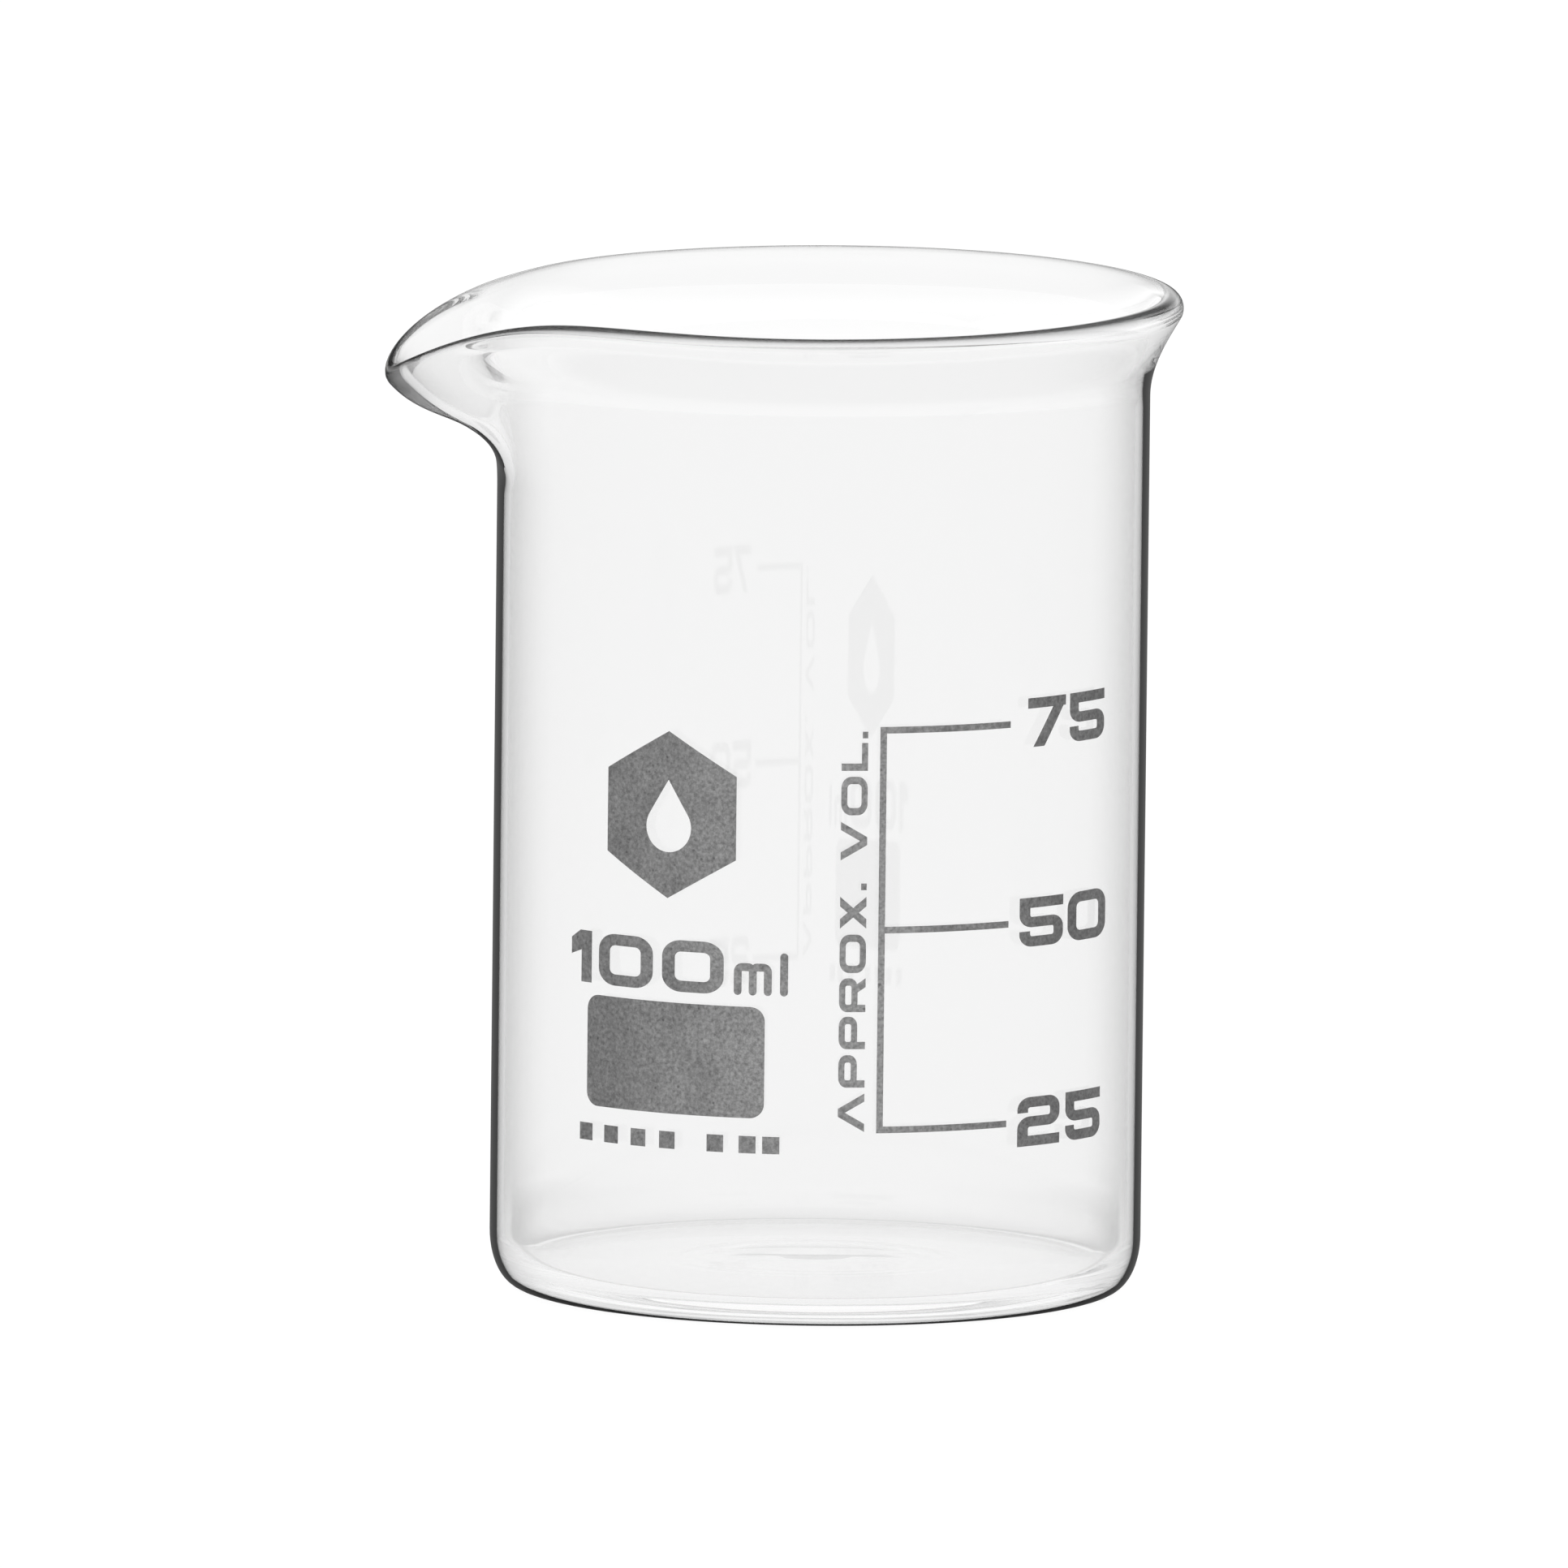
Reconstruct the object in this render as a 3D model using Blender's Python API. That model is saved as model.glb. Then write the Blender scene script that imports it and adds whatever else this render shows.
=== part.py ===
"""A 100 ml low-form laboratory beaker with a beaded rim, a pouring spout and a printed enamel scale.

The origin is the centre of the flat underside, +Z is up, the spout points along -X and the print faces -Y.
Heights on the glass are measured up from the underside, and depths are measured down from the rim's top.
The print is laid out flat, in millimetres: across is the arc length along the wall, positive to the right of
the -Y direction as seen from outside, and up is the height above the underside.
"""

import math

import bpy
from mathutils.geometry import delaunay_2d_cdt

MM = 0.001

# Glass body, in millimetres
OUTER_RADIUS = 24.5
WALL = 1.0
HEIGHT = 75.2
FLOOR = 1.6
OUTER_CORNER = (2.1, 4.0)
INNER_CORNER = (2.6, 3.4)
CORNER_STEPS = 5
FACETS = 72

# Flared lip and its bead
LIP_DEPTH = 7.6
BEAD_RADIUS = 1.1
BEAD_RING_RADIUS = 25.84
LIP_STEPS = 4
BEAD_STEPS = 6

# Pouring spout
SPOUT_DIRECTION = math.pi
SPOUT_DEPTH = 14.8
SPOUT_REACH = 7.5
SPOUT_DIP = 4.1
DIP_TOP = 0.6
DIP_BOTTOM = 12.0
REACH_SPREAD = math.radians(15.5)
DIP_SPREAD = math.radians(11.5)
SPREAD_LOSS = 0.3
REACH_SHARPNESS = 1.8
DIP_SHARPNESS = 1.5
SPOUT_STEPS = 5
BEAD_THINNING = 0.3
PINCH = 0.7
PINCH_PLACE = math.radians(42)
PINCH_SPREAD = math.radians(18)
PINCH_DEPTH = 8.0
SLOPE_STEP = 0.05

# The rim of a hand-finished beaker isn't quite level: it is highest in the tilt direction
RIM_TILT = 0.42
TILT_DIRECTION = math.radians(44)

# Enamel
ENAMEL_GAP = 0.05
ENAMEL_THICKNESS = 0.15
FACET_WIDTH = 2 * math.pi * OUTER_RADIUS / FACETS
ARC_STEPS = 3

# Print layout, in millimetres
MARK_STEP = 15.08
MARKS = (1, 2, 3)
SCALE_LINE = 0.5
SCALE_LEFT = -2.1
TICK_END = 8.3
NUMERAL_HEIGHT = 3.7
NUMERAL_STROKE = 0.76
TENS_LEFT = 9.35
ONES_LEFT = 14.35
ZERO_WIDTH = 4.95
TWO_WIDTH = 4.3
FIVE_WIDTH = 4.45
SEVEN_WIDTH = 3.9
SEVEN_INSET = 0.6
HEADING_TOP = -5.45
HEADING_HEIGHT = 2.58
HEADING_STROKE = 0.46
HEADING_STRETCH = 1.2
CAPACITY_BASE = 25.1
CAPACITY_HEIGHT = 3.9
CAPACITY_STROKE = 0.85
UNIT_STROKE = 0.6
FULL_ZERO_WIDTH = 5.0
PATCH_LEFT = -25.9
PATCH_RIGHT = -10.8
PATCH_LOW = 15.85
PATCH_HIGH = 24.25
PATCH_CORNER = 1.1
MARK_CENTRE = (-18.6, 38.4)
MARK_RADIUS = 6.3
DROP_RADIUS = 1.9
DROP_HEIGHT = 3.6
CODE_LOW = 13.2
CODE_SIDE = 1.3
CODE_LEFTS = (-26.6, -24.1, -21.6, -19.1, -15.2, -12.7, -10.9)


def clear_scene():
    for thing in list(bpy.data.objects):
        bpy.data.objects.remove(thing, do_unlink=True)


def plain_material(name, colour, roughness, transmission=0.0):
    material = bpy.data.materials.new(name)
    material.use_nodes = True
    shader = material.node_tree.nodes["Principled BSDF"]
    shader.inputs["Base Color"].default_value = (*colour, 1.0)
    shader.inputs["Roughness"].default_value = roughness
    shader.inputs["Metallic"].default_value = 0.0
    shader.inputs["Transmission Weight"].default_value = transmission
    return material


def add_object(name, points, faces, material):
    """A new object from points in millimetres."""
    mesh = bpy.data.meshes.new(name)
    mesh.from_pydata([[value * MM for value in point] for point in points], [], faces)
    mesh.materials.append(material)
    mesh.shade_smooth()
    mesh.set_sharp_from_angle(angle=math.radians(35))
    thing = bpy.data.objects.new(name, mesh)
    bpy.context.scene.collection.objects.link(thing)
    return thing


def smooth_step(value):
    value = min(max(value, 0.0), 1.0)
    return value * value * (3.0 - 2.0 * value)


def fade(depth, top, bottom):
    """1 above the top depth, falling smoothly to 0 at the bottom depth."""
    return 1.0 - smooth_step((depth - top) / (bottom - top))


def bump(turn, spread, sharpness):
    """1 at no turn, falling to nothing a few spreads away."""
    return math.exp(-((turn / spread) ** sharpness))


# ---------------------------------------------------------------- glass body


LIP_RISE = LIP_DEPTH - BEAD_RADIUS
LIP_RUN = BEAD_RING_RADIUS - (OUTER_RADIUS - WALL / 2)
LIP_LEAN = 2 * math.atan(LIP_RUN / LIP_RISE)
LIP_ARC = LIP_RISE / math.sin(LIP_LEAN)


def lip_radius(depth):
    """Radius of the middle of the wall: straight below the lip, then an arc that leans outwards."""
    climb = max(LIP_DEPTH - depth, 0.0) / LIP_ARC
    return OUTER_RADIUS - WALL / 2 + LIP_ARC * (1.0 - math.sqrt(1.0 - climb * climb))


def wall_point(angle, depth):
    """(radius, depth) of the middle of the wall, pushed out and down at the spout, where the angle is 0."""
    turn = abs(angle)
    shaped = fade(depth, 0.0, SPOUT_DEPTH)
    spread = REACH_SPREAD * (1.0 - SPREAD_LOSS * depth / SPOUT_DEPTH)
    push = SPOUT_REACH * bump(turn, spread, REACH_SHARPNESS) * shaped
    pinch = PINCH * bump(abs(turn - PINCH_PLACE), PINCH_SPREAD, 2) * fade(depth, 0.0, PINCH_DEPTH)
    dip = SPOUT_DIP * bump(turn, DIP_SPREAD, DIP_SHARPNESS) * fade(depth, DIP_TOP, DIP_BOTTOM)
    lift = RIM_TILT * math.cos(angle + SPOUT_DIRECTION - TILT_DIRECTION) * shaped
    return lip_radius(depth) + push - pinch, depth + dip - lift


def wall_section(angle, depth):
    """The middle of the wall, its outward normal, both as (radius, height), and half its thickness."""
    radius, sunk = wall_point(angle, depth)
    above = wall_point(angle, depth - SLOPE_STEP)
    below = wall_point(angle, depth + SLOPE_STEP)
    run, rise = above[0] - below[0], below[1] - above[1]
    length = math.hypot(run, rise)
    normal = (rise / length, -run / length)
    swelling = smooth_step((LIP_DEPTH - depth) / LIP_RISE) * (BEAD_RADIUS - WALL / 2)
    thinning = 1.0 - BEAD_THINNING * bump(abs(angle), REACH_SPREAD, 2)
    return (radius, HEIGHT - sunk), normal, WALL / 2 + swelling * thinning


def lip_depths():
    """Depths of the lip's rings, from the foot of the spout up to the middle of the bead."""
    climb = (SPOUT_DEPTH - LIP_DEPTH) / SPOUT_STEPS
    straight = [SPOUT_DEPTH - climb * step for step in range(SPOUT_STEPS)]
    leans = [LIP_LEAN * step / LIP_STEPS for step in range(LIP_STEPS + 1)]
    return straight + [LIP_DEPTH - LIP_ARC * math.sin(lean) for lean in leans]


def lip_outline(angle):
    """The lip's section at one angle from the spout: up the outside, over the bead and down the inside."""
    outside, inside = [], []
    for depth in lip_depths():
        (radius, height), normal, half = wall_section(angle, depth)
        outside.append((radius + half * normal[0], height + half * normal[1]))
        inside.append((radius - half * normal[0], height - half * normal[1]))
    start = math.atan2(normal[1], normal[0])
    turns = [start + math.pi * step / BEAD_STEPS for step in range(1, BEAD_STEPS)]
    bead = [(radius + half * math.cos(turn), height + half * math.sin(turn)) for turn in turns]
    return outside + bead + inside[::-1]


def corner(radius, low, size, steps):
    """Quarter of an ellipse, from a flat at the low height out and up to the wall at the radius."""
    start = radius - size[0]
    turns = [math.pi / 2 * step / steps for step in range(steps + 1)]
    return [(start + size[0] * math.sin(turn), low + size[1] * (1.0 - math.cos(turn))) for turn in turns]


def body_outline(angle):
    """One section of the glass: from the underside's edge, up, over the lip and in to the floor's edge."""
    outer_corner = corner(OUTER_RADIUS, 0.0, OUTER_CORNER, CORNER_STEPS)
    inner_corner = corner(OUTER_RADIUS - WALL, FLOOR, INNER_CORNER, CORNER_STEPS)
    return outer_corner + lip_outline(angle) + inner_corner[::-1]


def glass_body(material):
    """Rings of points round the axis, joined by quads, and closed by the underside and the floor."""
    points, faces = [], []
    for facet in range(FACETS):
        around = 2 * math.pi * facet / FACETS
        from_spout = math.remainder(around - SPOUT_DIRECTION, 2 * math.pi)
        outline = body_outline(from_spout)
        run, rise = math.cos(around), math.sin(around)
        points += [(radius * run, radius * rise, height) for radius, height in outline]
    count = len(outline)
    for facet in range(FACETS):
        here, there = facet * count, (facet + 1) % FACETS * count
        for row in range(count - 1):
            faces.append((here + row, there + row, there + row + 1, here + row + 1))
    faces.append([facet * count for facet in reversed(range(FACETS))])
    faces.append([facet * count + count - 1 for facet in range(FACETS)])
    return add_object("glass_body", points, faces, material)


# ---------------------------------------------------------------- flat shapes of the print


def rectangle(left, low, right, high):
    return [(left, low), (right, low), (right, high), (left, high)]


def slanted_bar(low_left, high_left, width, low, high):
    """A bar with level ends, from the low height to the high one."""
    return [(low_left, low), (low_left + width, low), (high_left + width, high), (high_left, high)]


def rounded_path(corners, radius, sharp=(), closed=False):
    """The corners joined by straight runs, with an arc at each turn that isn't listed as sharp."""
    path = []
    for index, (x, y) in enumerate(corners):
        if index in sharp or (not closed and index in (0, len(corners) - 1)):
            path.append((x, y))
            continue
        before, after = corners[index - 1], corners[(index + 1) % len(corners)]
        start = math.atan2(y - before[1], x - before[0])
        turn = math.remainder(math.atan2(after[1] - y, after[0] - x) - start, 2 * math.pi)
        trim = radius * math.tan(abs(turn) / 2)
        side = math.copysign(math.pi / 2, turn)
        centre = (
            x - trim * math.cos(start) + radius * math.cos(start + side),
            y - trim * math.sin(start) + radius * math.sin(start + side),
        )
        for step in range(ARC_STEPS + 1):
            heading = start + turn * step / ARC_STEPS - side
            path.append((centre[0] + radius * math.cos(heading), centre[1] + radius * math.sin(heading)))
    return path


def band(path, width, closed=False):
    """Quads that give a path its width, mitred where it turns."""
    edges = []
    last = len(path) - 1
    for index, (x, y) in enumerate(path):
        before = path[index - 1] if closed or index else None
        after = path[(index + 1) % len(path)] if closed or index < last else None
        first = before or (x, y)
        then = after or (x, y)
        headings = [
            math.atan2(q[1] - p[1], q[0] - p[0]) for p, q in ((first, (x, y)), ((x, y), then)) if p != q
        ]
        turn = math.remainder(headings[-1] - headings[0], 2 * math.pi)
        side = headings[0] + turn / 2 + math.pi / 2
        reach = width / 2 / math.cos(turn / 2)
        edges.append(
            (
                (x + reach * math.cos(side), y + reach * math.sin(side)),
                (x - reach * math.cos(side), y - reach * math.sin(side)),
            )
        )
    pairs = zip(edges, edges[1:] + edges[:1] if closed else edges[1:])
    return [[start[1], end[1], end[0], start[0]] for start, end in pairs]


def loop(left, low, right, high, stroke, radius):
    """A rounded rectangular ring, drawn inside the given rectangle."""
    inset = stroke / 2
    corners = rectangle(left + inset, low + inset, right - inset, high - inset)
    return band(rounded_path(corners, radius, closed=True), stroke, closed=True)


def round_dot(x, y, size, sides=8):
    turns = [2 * math.pi * (side + 0.5) / sides for side in range(sides)]
    return [(x + size / 2 * math.cos(turn), y + size / 2 * math.sin(turn)) for turn in turns]


def numeral_0(width, height, stroke):
    return loop(0, 0, width, height, stroke, stroke)


def numeral_1(width, height, stroke):
    flag = [
        (0, 0.52 * height),
        (width - stroke, 0.62 * height),
        (width, 0.62 * height),
        (width, height),
        (0.45 * width, height),
        (0, 0.84 * height),
    ]
    return [rectangle(width - stroke, 0, width, 0.7 * height), flag]


def numeral_2(width, height, stroke):
    left, right, low, high = stroke / 2, width - stroke / 2, stroke / 2, height - stroke / 2
    middle = height / 2
    corners = [
        (left, high - stroke),
        (left, high),
        (right, high),
        (right, middle),
        (left, middle),
        (left, low),
        (width, low),
    ]
    return band(rounded_path(corners, 0.7 * stroke, sharp=(5,)), stroke)


def numeral_5(width, height, stroke):
    left, right, low, high = stroke / 2, width - stroke / 2, stroke / 2, height - stroke / 2
    middle = height / 2
    corners = [
        (width, high),
        (left, high),
        (left, middle),
        (right, middle),
        (right, low),
        (left, low),
        (left, low + stroke),
    ]
    return band(rounded_path(corners, 0.7 * stroke, sharp=(1,)), stroke)


def numeral_7(width, height, stroke):
    bar = rectangle(0, height - stroke, width, height)
    leg = slanted_bar(0.14 * width, 0.72 * width, 0.28 * width, 0, height - stroke / 2)
    return [bar, leg]


def letter_m(width, height, stroke):
    left, middle, right = stroke / 2, width / 2, width - stroke / 2
    high = height - stroke / 2
    shapes = []
    for start, end in ((left, middle), (middle, right)):
        corners = [(start, stroke / 2), (start, high), (end, high), (end, stroke / 2)]
        shapes += band(rounded_path(corners, 0.6 * stroke), stroke)
    return shapes + [round_dot(foot, stroke / 2, stroke) for foot in (left, middle, right)]


def letter_l(width, height, stroke):
    ends = [round_dot(width / 2, place, stroke) for place in (stroke / 2, height - stroke / 2)]
    return [rectangle(0, stroke / 2, width, height - stroke / 2)] + ends


def letter_a(width, height, stroke):
    bar = 1.1 * stroke
    return [
        slanted_bar(0, (width - bar) / 2, bar, 0, height),
        slanted_bar(width - bar, (width - bar) / 2, bar, 0, height),
    ]


def letter_v(width, height, stroke):
    return [[(x, height - y) for x, y in reversed(bar)] for bar in letter_a(width, height, stroke)]


def letter_p(width, height, stroke):
    bowl = loop(0, 0.3 * height, width, height, stroke, 0.8 * stroke)
    return bowl + [rectangle(0, 0, stroke, 0.65 * height)]


def letter_r(width, height, stroke):
    leg = slanted_bar(width - 1.2 * stroke, 0.5 * width, 1.2 * stroke, 0, 0.45 * height)
    return letter_p(width, height, stroke) + [leg]


def letter_o(width, height, stroke):
    return loop(0, 0, width, height, stroke, 1.1 * stroke)


def letter_x(width, height, stroke):
    bar = 1.3 * stroke
    return [
        slanted_bar(0, width - bar, bar, 0, height),
        slanted_bar(width - bar, 0, bar, 0, height),
    ]


def big_letter_l(width, height, stroke):
    return [rectangle(0, 0, stroke, height), rectangle(0, 0, width, stroke)]


def full_stop(width, height, stroke):
    return [rectangle(0, 0, width, width)]


def marking_patch():
    corners = rectangle(PATCH_LEFT, PATCH_LOW, PATCH_RIGHT, PATCH_HIGH)
    return [rounded_path(corners, PATCH_CORNER, closed=True)]


def hexagon():
    turns = [math.pi / 2 + math.pi / 3 * side for side in range(6)]
    x, y = MARK_CENTRE
    return [(x + MARK_RADIUS * math.cos(turn), y + MARK_RADIUS * math.sin(turn)) for turn in turns]


def drop():
    """A drop: a round bottom whose sides run up, tangent to it, to a point."""
    x, y = MARK_CENTRE[0], MARK_CENTRE[1] - DROP_RADIUS / 2
    shoulder = math.acos(DROP_RADIUS / DROP_HEIGHT)
    sides = 4 * ARC_STEPS
    sweep = 2 * (math.pi - shoulder)
    turns = [math.pi / 2 + shoulder + sweep * side / sides for side in range(sides + 1)]
    bottom = [(x + DROP_RADIUS * math.cos(turn), y + DROP_RADIUS * math.sin(turn)) for turn in turns]
    return bottom + [(x, y + DROP_HEIGHT)]


def scale_bracket():
    half = SCALE_LINE / 2
    low, high = MARKS[0] * MARK_STEP, MARKS[-1] * MARK_STEP
    upright = rectangle(SCALE_LEFT - half, low - half, SCALE_LEFT + half, high + half)
    ticks = [
        rectangle(SCALE_LEFT, mark * MARK_STEP - half, TICK_END, mark * MARK_STEP + half) for mark in MARKS
    ]
    return [upright] + ticks


def placed(shapes, across, up, stretch=1.0):
    return [[(across + stretch * x, up + y) for x, y in shape] for shape in shapes]


def read_upwards(shapes, up, stretch):
    """Turns a letter a quarter turn anticlockwise, with its top towards the left of the print."""
    base = HEADING_TOP + HEADING_HEIGHT
    return [[(base - y, up + stretch * x) for x, y in shape] for shape in shapes]


# ---------------------------------------------------------------- enamel solids


def on_wall(across, up, lift):
    """A point of the flat print, lifted off the facet of the wall that it lies on."""
    around = across / OUTER_RADIUS
    step = 2 * math.pi / FACETS
    off_middle = around - step * (math.floor(around / step) + 0.5)
    radius = (OUTER_RADIUS * math.cos(step / 2) + lift) / math.cos(off_middle)
    return radius * math.sin(around), -radius * math.cos(around), up


def enamel(name, shapes, material, hole=None):
    """One closed solid over the union of the flat shapes, bent round the wall facet by facet."""
    flat, outlines, cuts = [], [], []
    for shape in shapes + ([hole] if hole else []):
        outlines.append(list(range(len(flat), len(flat) + len(shape))))
        flat += shape
    low, high = min(y for _, y in flat), max(y for _, y in flat)
    first = math.ceil(min(x for x, _ in flat) / FACET_WIDTH)
    last = math.floor(max(x for x, _ in flat) / FACET_WIDTH)
    for line in range(first, last + 1):
        cuts.append((len(flat), len(flat) + 1))
        flat += [(line * FACET_WIDTH, low), (line * FACET_WIDTH, high)]
    found = delaunay_2d_cdt(flat, cuts, outlines, 0, 1e-5)
    places, triangles, sources = found[0], found[2], found[5]
    kept = [
        tri for tri, source in zip(triangles, sources) if source and not (hole and len(shapes) in source)
    ]
    used = sorted({corner for tri in kept for corner in tri})
    order = {corner: index for index, corner in enumerate(used)}
    count = len(used)
    points = [on_wall(*places[corner], ENAMEL_GAP) for corner in used]
    points += [on_wall(*places[corner], ENAMEL_GAP + ENAMEL_THICKNESS) for corner in used]
    faces, border = [], {}
    for tri in kept:
        inner = [order[corner] for corner in tri]
        faces.append(inner[::-1])
        faces.append([index + count for index in inner])
        for start, end in zip(inner, inner[1:] + inner[:1]):
            if (end, start) in border:
                del border[end, start]
            else:
                border[start, end] = True
    faces += [(start, end, end + count, start + count) for start, end in border]
    return add_object(name, points, faces, material)


def scale_numerals(material):
    """The numerals at the marks. Each glyph has its left edge and its width."""
    five = (numeral_5, ONES_LEFT, FIVE_WIDTH)
    rows = (
        (1, "25", ((numeral_2, TENS_LEFT, TWO_WIDTH), five)),
        (2, "50", ((numeral_5, TENS_LEFT, FIVE_WIDTH), (numeral_0, ONES_LEFT, ZERO_WIDTH))),
        (3, "75", ((numeral_7, TENS_LEFT + SEVEN_INSET, SEVEN_WIDTH), five)),
    )
    for mark, value, glyphs in rows:
        low = mark * MARK_STEP - NUMERAL_HEIGHT / 2
        for digit, (glyph, left, width) in zip(value, glyphs):
            shapes = placed(glyph(width, NUMERAL_HEIGHT, NUMERAL_STROKE), left, low)
            enamel(f"scale_{value}_digit_{digit}", shapes, material)


def scale_heading(material):
    """The heading, which reads upwards. Each glyph has its lower end and its length up the wall."""
    glyphs = (
        ("a", letter_a, 14.95, 2.9),
        ("p_1", letter_p, 18.3, 2.45),
        ("p_2", letter_p, 21.2, 2.45),
        ("r", letter_r, 24.0, 2.55),
        ("o_1", letter_o, 26.95, 2.9),
        ("x", letter_x, 30.3, 2.4),
        ("stop_1", full_stop, 33.2, 0.5),
        ("v", letter_v, 35.45, 2.9),
        ("o_2", letter_o, 38.85, 2.9),
        ("l", big_letter_l, 42.2, 2.1),
        ("stop_2", full_stop, 44.65, 0.5),
    )
    for name, glyph, start, width in glyphs:
        shapes = glyph(width / HEADING_STRETCH, HEADING_HEIGHT, HEADING_STROKE)
        enamel(f"heading_{name}", read_upwards(shapes, start, HEADING_STRETCH), material)


def capacity(material):
    """The nominal volume. Each glyph has its left edge, width, height and stroke."""
    glyphs = (
        ("1", numeral_1, -27.7, 2.15, CAPACITY_HEIGHT, CAPACITY_STROKE),
        ("0_left", numeral_0, -24.8, FULL_ZERO_WIDTH, CAPACITY_HEIGHT, CAPACITY_STROKE),
        ("0_right", numeral_0, -19.0, FULL_ZERO_WIDTH, CAPACITY_HEIGHT, CAPACITY_STROKE),
        ("unit_m", letter_m, -13.2, 2.9, 2.45, UNIT_STROKE),
        ("unit_l", letter_l, -9.68, UNIT_STROKE, 3.3, UNIT_STROKE),
    )
    for name, glyph, left, width, height, stroke in glyphs:
        enamel(f"capacity_{name}", placed(glyph(width, height, stroke), left, CAPACITY_BASE), material)


def code_row(material):
    for place, left in enumerate(CODE_LEFTS, start=1):
        shape = rectangle(left, CODE_LOW, left + CODE_SIDE, CODE_LOW + CODE_SIDE)
        enamel(f"code_square_{place}", [shape], material)


clear_scene()
glass_body(plain_material("clear_glass", (0.95, 0.96, 0.96), 0.02, transmission=1.0))
white_enamel = plain_material("white_enamel", (0.62, 0.62, 0.62), 0.6)
enamel("scale_bracket", scale_bracket(), white_enamel)
scale_numerals(white_enamel)
scale_heading(white_enamel)
capacity(white_enamel)
enamel("marking_patch", marking_patch(), white_enamel)
enamel("generic_mark", [hexagon()], white_enamel, hole=drop())
code_row(white_enamel)
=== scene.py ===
"""The beaker's looks: smooth clear glass, the fired enamel print, a white studio and the camera.

Lengths on the beaker are in millimetres until add_piece() turns them into metres. Lengths in the studio and
in the materials are in metres. The angle round the glass is measured from the spout for the wall's shape, and
from -Y towards +X, as an arc length called across, for the print.
"""

import math

import bpy
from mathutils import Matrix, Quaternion, Vector
from mathutils.geometry import delaunay_2d_cdt


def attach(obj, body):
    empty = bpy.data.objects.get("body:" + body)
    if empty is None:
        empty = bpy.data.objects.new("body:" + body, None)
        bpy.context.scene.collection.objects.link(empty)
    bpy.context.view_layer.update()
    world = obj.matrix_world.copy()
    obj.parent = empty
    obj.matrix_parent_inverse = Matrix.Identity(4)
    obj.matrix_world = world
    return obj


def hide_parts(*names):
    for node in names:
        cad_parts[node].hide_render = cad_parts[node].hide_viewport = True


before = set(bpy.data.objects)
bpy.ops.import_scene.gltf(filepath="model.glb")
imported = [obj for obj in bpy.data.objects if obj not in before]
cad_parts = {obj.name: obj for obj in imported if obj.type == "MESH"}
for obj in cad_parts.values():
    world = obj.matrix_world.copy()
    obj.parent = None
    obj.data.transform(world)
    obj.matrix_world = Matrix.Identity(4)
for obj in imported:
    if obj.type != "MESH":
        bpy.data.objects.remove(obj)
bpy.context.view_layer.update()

MM = 0.001

# The glass. Its wall, lip and spout are the CAD part's. Its floor and inner corner are a little different
OUTER_RADIUS = 24.5
WALL = 1.0
HEIGHT = 75.2
FLOOR = 1.8
OUTER_CORNER = (2.1, 4.0)
INNER_CORNER = (1.6, 2.6)
LIP_DEPTH = 7.6
BEAD_RADIUS = 1.1
BEAD_RING_RADIUS = 25.84
SPOUT_DIRECTION = math.pi
SPOUT_DEPTH = 14.8
SPOUT_REACH = 7.5
SPOUT_DIP = 4.1
DIP_TOP = 0.6
DIP_BOTTOM = 12.0
REACH_SPREAD = math.radians(15.5)
DIP_SPREAD = math.radians(11.5)
SPREAD_LOSS = 0.3
REACH_SHARPNESS = 1.8
DIP_SHARPNESS = 1.5
BEAD_THINNING = 0.3
PINCH = 0.7
PINCH_PLACE = math.radians(42)
PINCH_SPREAD = math.radians(18)
PINCH_DEPTH = 8.0
SLOPE_STEP = 0.05
RIM_TILT = 0.42
TILT_DIRECTION = math.radians(44)

# How finely the glass is drawn
COLUMNS = 360
CORNER_STEPS = 14
WALL_STEPS = 24
SPOUT_STEPS = 16
LIP_STEPS = 16
BEAD_STEPS = 22
DISC_STEPS = 34

# Floor and underside, whose hollow, rings and dimple are only drawn here
CONTACT_RADIUS = 19.0
HOLLOW = 0.3
HOLLOW_SHARPNESS = 0.6
MOULD_RING_RADIUS = 10.2
MOULD_RING_WIDTH = 0.5
MOULD_RING_RISE = 0.012
FLOOR_RING_RADIUS = 0.88 * MOULD_RING_RADIUS
FLOOR_RING_WIDTH = 0.6
FLOOR_SWELL = 0.2
DIMPLE_RADIUS = 4.7
DIMPLE_FLAT = 0.35
DIMPLE_DEPTH = 0.03

# Glass colour: where painted shade darkens it into outlines, and its clear tone. WALL_EDGE is the cosine of a
# glancing angle
GLASS_SHARES = ("inside", "rim", "spout", "mouth", "foot")
SPOUT_EDGE = math.radians(13)
SPOUT_LOW = 61.0
SPOUT_CLIMB = 8.0
MOUTH_EDGE = math.radians(50)
MOUTH_SHIFT = 0.06
FOLD_HEIGHTS = (3.5, 6.0)
FOLD_RADIUS = 21.8
FOLD_RUN = 0.5
FOOT_HEIGHTS = (0.1, 1.2)
WALL_EDGE = 0.2545
GLASS_TINT = 0.948
GLASS_INDEX = 1.473

# Enamel
ENAMEL_LIFT = 0.004
ENAMEL_THICKNESS = 0.03
ENAMEL_COLUMN = 0.4
ENAMEL_CREASE = math.radians(40)
ENAMEL_ROUGHNESS = 0.55
GRAIN_SCALE = 3600.0
CLOUD_SCALE = 260.0
PINHOLE_SCALE = 900.0
# Painted shade on the enamel: half the width along X over which it darkens towards both sides
SIDE_SHADE_REACH = 0.025
LUMP_HEIGHT = 0.00002
ARC_STEPS = 8

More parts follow.
